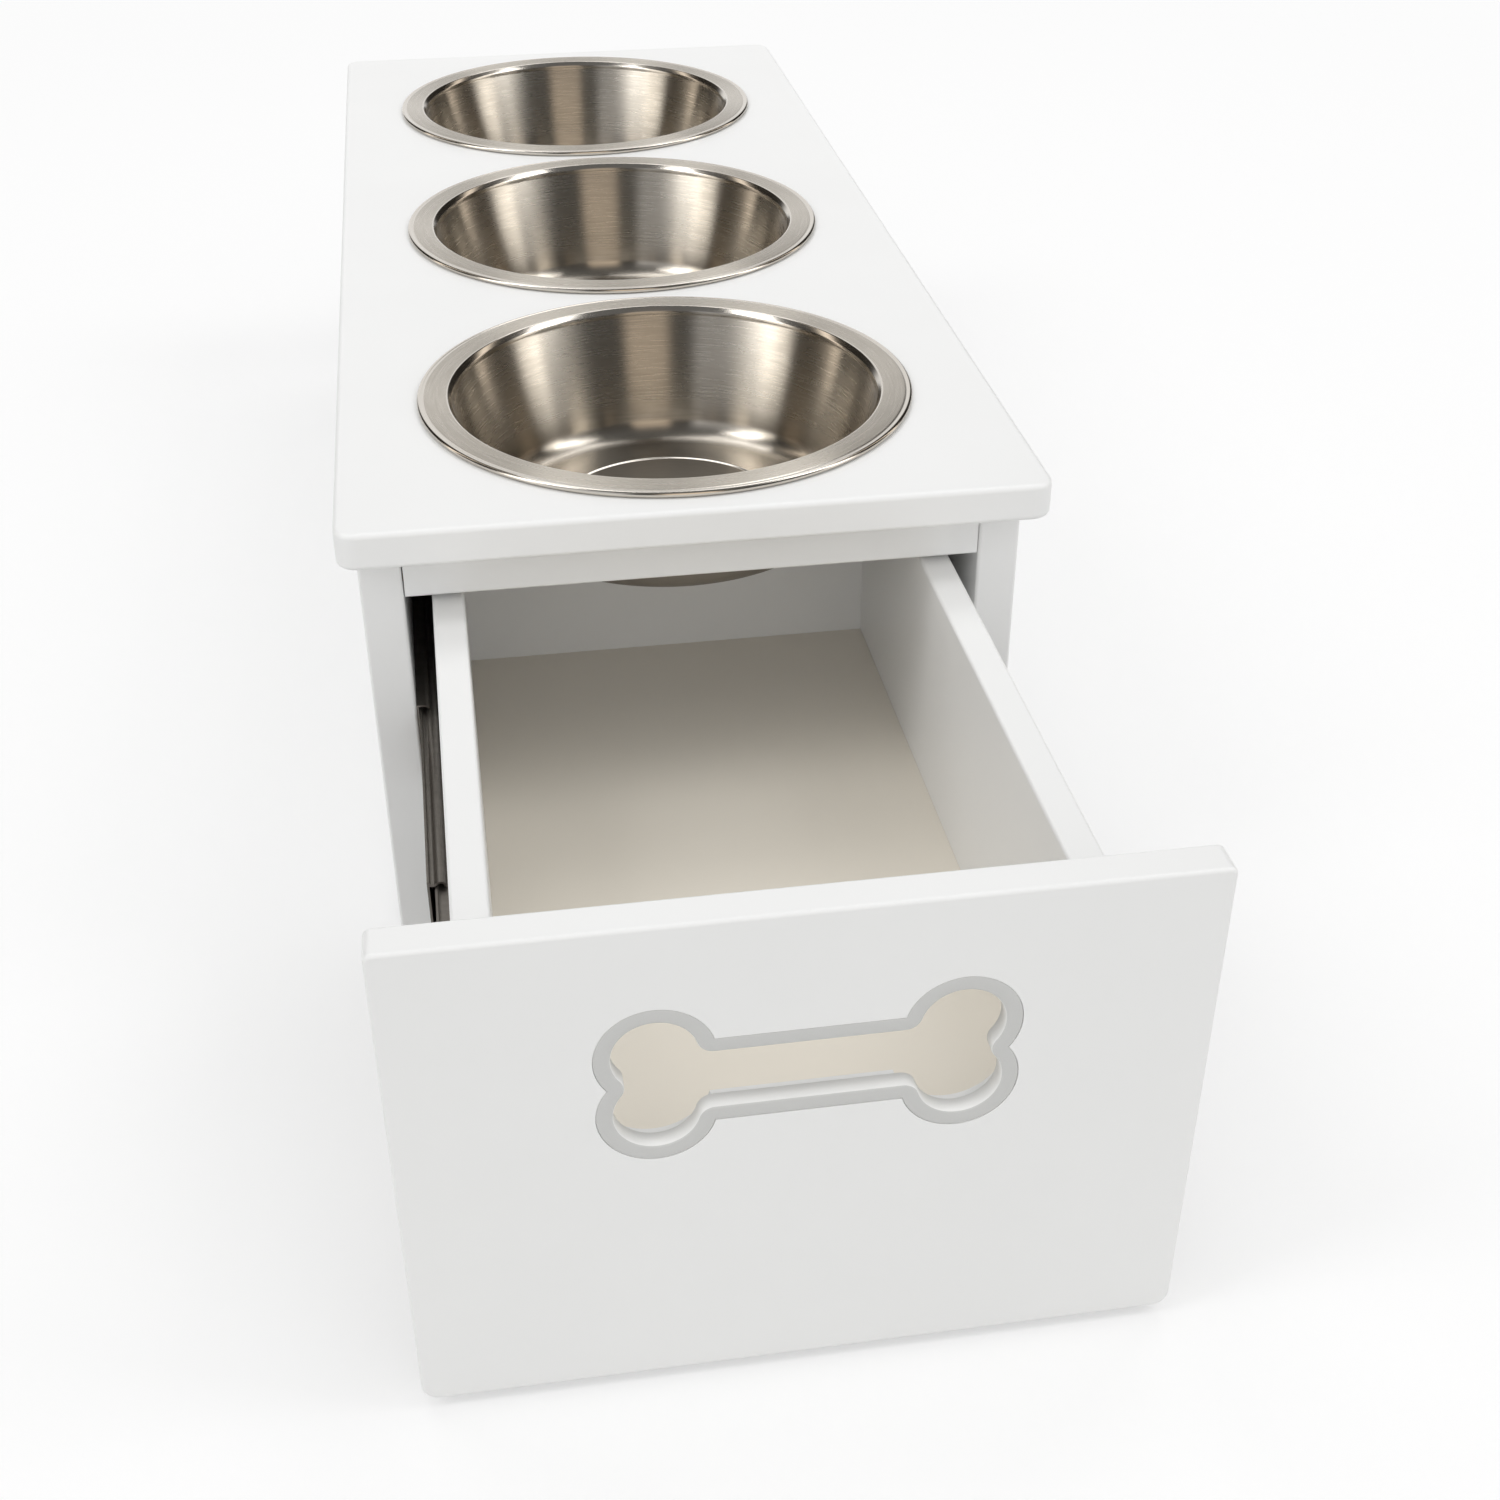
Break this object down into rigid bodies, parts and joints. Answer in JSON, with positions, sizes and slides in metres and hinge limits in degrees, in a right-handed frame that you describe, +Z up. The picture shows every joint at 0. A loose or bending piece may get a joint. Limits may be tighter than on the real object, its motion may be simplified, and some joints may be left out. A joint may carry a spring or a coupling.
{
  "type": "raised dog feeder with storage drawer",
  "caption": "Raised dog feeder: a long white bench with drop-in steel bowls over a storage drawer on telescopic slides, with a bone-shaped grip hole.",
  "frame": {"origin": "middle of the bounding box's footprint, at floor level, with the drawer open as pictured", "axes": "+X to the right seen from the drawer front, +Y from the drawer front to the back panel, +Z up"},
  "size_m": [0.33, 1.086, 0.2542],
  "materials": {
    "top_board": "satin white paint over board",
    "frame_board": "satin white paint over board",
    "front_board": "satin white paint over board",
    "drawer_board": "satin white paint over board",
    "floor_board": "white faced thin board",
    "base_board": "white faced thin board",
    "raw_wood": "bare wood",
    "grip_trim": "flat light grey",
    "bowl_steel": "spun, fine circular satin",
    "slide_steel": "dull zinc plate",
    "ball_steel": "polished",
    "zinc_steel": "zinc plated",
    "glide_plastic": "dull dark grey",
    "bumper_rubber": "soft, clear grey"
  },
  "bodies": {
    "frame": {"top_panel": "top_board", "side_panel_left": "frame_board", "side_panel_right": "frame_board", "back_panel": "frame_board", "front_top_rail": "frame_board", "front_bottom_rail": "frame_board", "base_panel": "base_board", "base_cleats": "raw_wood", "frame_dowels": "raw_wood", "top_brackets": "zinc_steel", "bracket_screws": "zinc_steel", "base_screws": "zinc_steel", "floor_glides": "glide_plastic", "slide_frame_member_left": "slide_steel", "slide_frame_member_right": "slide_steel", "frame_slide_screws": "zinc_steel"},
    "drawer": {"drawer_front": "front_board", "grip_trim": "grip_trim", "drawer_side_left": "drawer_board", "drawer_side_right": "drawer_board", "drawer_back": "drawer_board", "drawer_floor": "floor_board", "drawer_dowels": "raw_wood", "drawer_floor_screws": "zinc_steel", "drawer_bumpers": "bumper_rubber", "slide_drawer_member_left": "slide_steel", "slide_drawer_member_right": "slide_steel", "drawer_slide_screws": "zinc_steel"},
    "middle_members": {"slide_middle_member_left": "slide_steel", "slide_middle_member_right": "slide_steel"},
    "outer_balls": {"outer_ball_strips_left": "ball_steel", "outer_ball_strips_right": "ball_steel"},
    "inner_balls": {"inner_ball_strips_left": "ball_steel", "inner_ball_strips_right": "ball_steel"},
    "bowl_front": {"bowl_front": "bowl_steel"},
    "bowl_middle": {"bowl_middle": "bowl_steel"},
    "bowl_rear": {"bowl_rear": "bowl_steel"}
  },
  "joints": [
    {"name": "drawer_slide", "type": "slide", "parent": "frame", "child": "drawer", "axis": [0, -1, 0], "range_m": [-0.28, 0.118]},
    {"name": "middle_member_slide", "type": "slide", "parent": "frame", "child": "middle_members", "axis": [0, -1, 0], "range_m": [-0.1402, 0.0592]},
    {"name": "outer_ball_slide", "type": "slide", "parent": "frame", "child": "outer_balls", "axis": [0, -1, 0], "range_m": [-0.0702, 0.0297]},
    {"name": "inner_ball_slide", "type": "slide", "parent": "frame", "child": "inner_balls", "axis": [0, -1, 0], "range_m": [-0.2102, 0.0887]},
    {"name": "bowl_front_lift", "type": "slide", "parent": "frame", "child": "bowl_front", "axis": [0, 0, 1], "range_m": [0, 0.1]},
    {"name": "bowl_middle_lift", "type": "slide", "parent": "frame", "child": "bowl_middle", "axis": [0, 0, 1], "range_m": [0, 0.1]},
    {"name": "bowl_rear_lift", "type": "slide", "parent": "frame", "child": "bowl_rear", "axis": [0, 0, 1], "range_m": [0, 0.1]}
  ],
  "couplings": [
    {"joint": "middle_member_slide", "follows": "drawer_slide", "ratio": 0.5},
    {"joint": "outer_ball_slide", "follows": "drawer_slide", "ratio": 0.25},
    {"joint": "inner_ball_slide", "follows": "drawer_slide", "ratio": 0.75}
  ]
}
